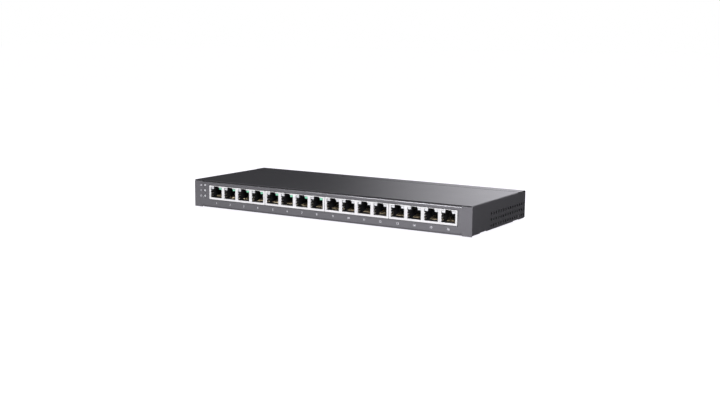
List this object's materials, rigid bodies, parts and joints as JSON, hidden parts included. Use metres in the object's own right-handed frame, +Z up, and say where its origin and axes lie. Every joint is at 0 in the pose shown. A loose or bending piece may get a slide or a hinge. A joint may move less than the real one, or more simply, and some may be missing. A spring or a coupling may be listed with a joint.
{
  "type": "desktop network switch",
  "caption": "Desktop Ethernet switch in a folded steel case: shielded RJ45 ports and status lights in front, vented sides, power inlet, ground screw and reset button behind.",
  "frame": {"origin": "on the surface under the feet, at the middle of the object's outline", "axes": "+X to the right seen from the front, +Y from the port side to the rear, +Z up"},
  "size_m": [0.286, 0.1134, 0.0269],
  "materials": {
    "front_paint": "mid-grey powder coat, satin, fine texture",
    "cover_paint": "charcoal powder coat, satin, fine texture",
    "rubber": "matt moulded rubber",
    "jack_shell": "bright tin-plated sheet",
    "jack_plastic": "black glass-filled plastic",
    "light_guide": "clear to milky moulded guide",
    "light_guide_green": "pale green moulded guide",
    "contact_gold": "gold-flashed spring wire",
    "board": "green solder mask",
    "zinc": "bright zinc plate",
    "black_screw": "black-oxide steel",
    "heatsink": "black anodised extrusion",
    "chip": "moulded epoxy package",
    "thermal_pad": "soft grey pad",
    "film": "translucent insulating film",
    "ferrite": "sintered ferrite",
    "sleeve": "shrunk vinyl sleeve",
    "print": "light grey screen print"
  },
  "bodies": {
    "body": {"base_chassis": "front_paint", "board_screw_front_left": "zinc", "board_screw_front_right": "zinc", "board_screw_rear_left": "zinc", "board_screw_rear_right": "zinc", "capacitor_1": "sleeve", "capacitor_2": "sleeve", "circuit_board": "board", "cover_screw_front_left": "black_screw", "cover_screw_front_right": "black_screw", "cover_screw_rear_left": "black_screw", "cover_screw_rear_right": "black_screw", "foot_front_left": "rubber", "foot_front_right": "rubber", "foot_rear_left": "rubber", "foot_rear_right": "rubber", "ground_screw": "zinc", "ground_washer": "zinc", "heatsink": "heatsink", "insulating_sheet": "film", "jack_housing_1": "jack_plastic", "jack_housing_2": "jack_plastic", "jack_housing_3": "jack_plastic", "jack_housing_4": "jack_plastic", "jack_lenses_1": "light_guide", "jack_lenses_2": "light_guide", "jack_lenses_3": "light_guide", "jack_lenses_4": "light_guide", "jack_shell_1": "jack_shell", "jack_shell_2": "jack_shell", "jack_shell_3": "jack_shell", "jack_shell_4": "jack_shell", "light_pipe_holder": "jack_plastic", "magnetics_1": "chip", "magnetics_2": "chip", "magnetics_3": "chip", "magnetics_4": "chip", "panel_screw_left": "black_screw", "panel_screw_right": "black_screw", "port_power_chip_1": "chip", "port_power_chip_2": "chip", "power_inlet_body": "jack_plastic", "power_inlet_pin": "zinc", "rear_panel": "cover_paint", "rear_screw_left": "black_screw", "rear_screw_right": "black_screw", "reset_switch_body": "jack_plastic", "standoff_front_left": "zinc", "standoff_front_right": "zinc", "standoff_rear_left": "zinc", "standoff_rear_right": "zinc", "status_light_pipe_1": "light_guide", "status_light_pipe_2": "light_guide", "status_light_pipe_3": "light_guide", "storage_inductor": "ferrite", "switch_chip": "chip", "thermal_pad": "thermal_pad", "top_cover": "cover_paint"},
    "reset_button": {"reset_button": "jack_plastic"}
  },
  "joints": [
    {"name": "reset_press", "type": "slide", "parent": "body", "child": "reset_button", "axis": [0, -1, 0], "range_m": [0, 0.0005], "stiffness_N_per_m": 3000}
  ]
}
